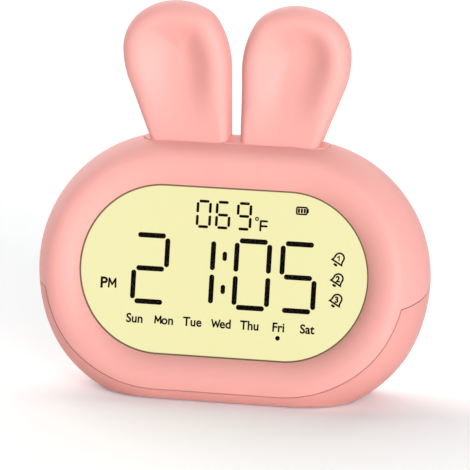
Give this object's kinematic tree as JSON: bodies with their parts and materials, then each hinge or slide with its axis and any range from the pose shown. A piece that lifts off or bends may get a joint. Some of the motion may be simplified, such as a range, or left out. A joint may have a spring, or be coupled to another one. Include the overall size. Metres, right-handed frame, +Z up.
{
  "type": "kids alarm clock",
  "caption": "Bedside alarm clock with a wide stadium-shaped case, a lit display that serves as night light, and two upright ears that are one press key.",
  "frame": {"origin": "on the surface that the clock stands on, under the middle of its bounding box", "axes": "+Z up, display faces -Y, +X to the right of a person who reads the display"},
  "size_m": [0.14, 0.056, 0.138],
  "materials": {
    "case": "fine satin-matt moulded ABS, soft pink",
    "button": "matt pink ABS, a shade deeper than the case",
    "foot_rubber": "soft matt silicone, dull pink",
    "clear_lens": "clear polished acrylic",
    "black_tape": "thin dark adhesive ring",
    "lcd_glass": "LCD glass with dark segments, lit pale yellow",
    "white_film": "white polyester film",
    "light_guide": "clear acrylic, edge lit",
    "white_plastic": "plain white ABS",
    "strip_rubber": "striped conductive rubber",
    "lamp": "warm white side-view lamps",
    "circuit_board": "green solder mask",
    "black_plastic": "black epoxy or nylon",
    "bright_steel": "plated steel",
    "spring_steel": "drawn spring wire",
    "screw_steel": "black zinc plated steel",
    "battery_wrap": "blue heat-shrink wrap",
    "foam_tape": "black closed-cell foam",
    "cone_paper": "pressed paper cone",
    "red_wire": "red PVC insulation",
    "black_wire": "black PVC insulation",
    "white_wire": "white insulation"
  },
  "bodies": {
    "case": {"battery_leads": "red_wire", "battery_pack": "battery_wrap", "battery_tape": "foam_tape", "board_screws": "screw_steel", "button_board": "circuit_board", "button_ribbon": "white_wire", "button_switches": "black_plastic", "capacitors": "bright_steel", "case_screws": "screw_steel", "charge_board": "circuit_board", "charging_socket": "bright_steel", "chip_resistors": "black_plastic", "clock_crystal": "bright_steel", "contact_strips": "strip_rubber", "diffuser_film": "white_film", "display_frame": "white_plastic", "display_lens": "clear_lens", "ear_bracket": "white_plastic", "ear_springs": "spring_steel", "ear_switch": "black_plastic", "ear_switch_board": "circuit_board", "ear_switch_leads": "white_wire", "feet": "foot_rubber", "front_shell": "case", "lcd_front_glass": "lcd_glass", "lcd_rear_glass": "lcd_glass", "lens_adhesive": "black_tape", "light_guide": "light_guide", "main_board": "circuit_board", "night_light_lamps": "lamp", "night_light_strips": "white_film", "processor_chip": "black_plastic", "rear_shell": "case", "reflector_film": "white_film", "sound_and_charge_chips": "black_plastic", "speaker_cone": "cone_paper", "speaker_frame": "bright_steel", "speaker_gasket": "foam_tape", "speaker_leads": "black_wire", "speaker_magnet": "bright_steel", "temperature_sensor": "black_plastic", "wire_sockets": "white_plastic"},
    "ears": {"ear_key": "case", "left_ear": "case", "right_ear": "case", "left_ear_back": "case", "right_ear_back": "case", "ear_key_clips": "bright_steel", "ear_switch_plunger": "white_plastic"},
    "mode": {"mode_button": "button", "mode_switch_plunger": "white_plastic"},
    "alarm": {"alarm_button": "button", "alarm_switch_plunger": "white_plastic"},
    "up": {"up_button": "button", "up_switch_plunger": "white_plastic"},
    "down": {"down_button": "button", "down_switch_plunger": "white_plastic"},
    "light": {"light_button": "button", "light_switch_plunger": "white_plastic"}
  },
  "joints": [
    {"name": "ears_press", "type": "slide", "parent": "case", "child": "ears", "axis": [0, 0, -1], "range_m": [0, 0.0012], "stiffness_N_per_m": 1500, "springref_m": -0.001, "deforming": ["ear_springs"]},
    {"name": "mode_press", "type": "slide", "parent": "case", "child": "mode", "axis": [0, -0.9744, 0.225], "range_m": [0, 0.0006], "stiffness_N_per_m": 400, "springref_m": -0.0006},
    {"name": "alarm_press", "type": "slide", "parent": "case", "child": "alarm", "axis": [0, -0.9744, 0.225], "range_m": [0, 0.0006], "stiffness_N_per_m": 400, "springref_m": -0.0006},
    {"name": "up_press", "type": "slide", "parent": "case", "child": "up", "axis": [0, -0.9744, 0.225], "range_m": [0, 0.0006], "stiffness_N_per_m": 400, "springref_m": -0.0006},
    {"name": "down_press", "type": "slide", "parent": "case", "child": "down", "axis": [0, -0.9744, 0.225], "range_m": [0, 0.0006], "stiffness_N_per_m": 400, "springref_m": -0.0006},
    {"name": "light_press", "type": "slide", "parent": "case", "child": "light", "axis": [0, -0.9744, 0.225], "range_m": [0, 0.0006], "stiffness_N_per_m": 400, "springref_m": -0.0006}
  ]
}
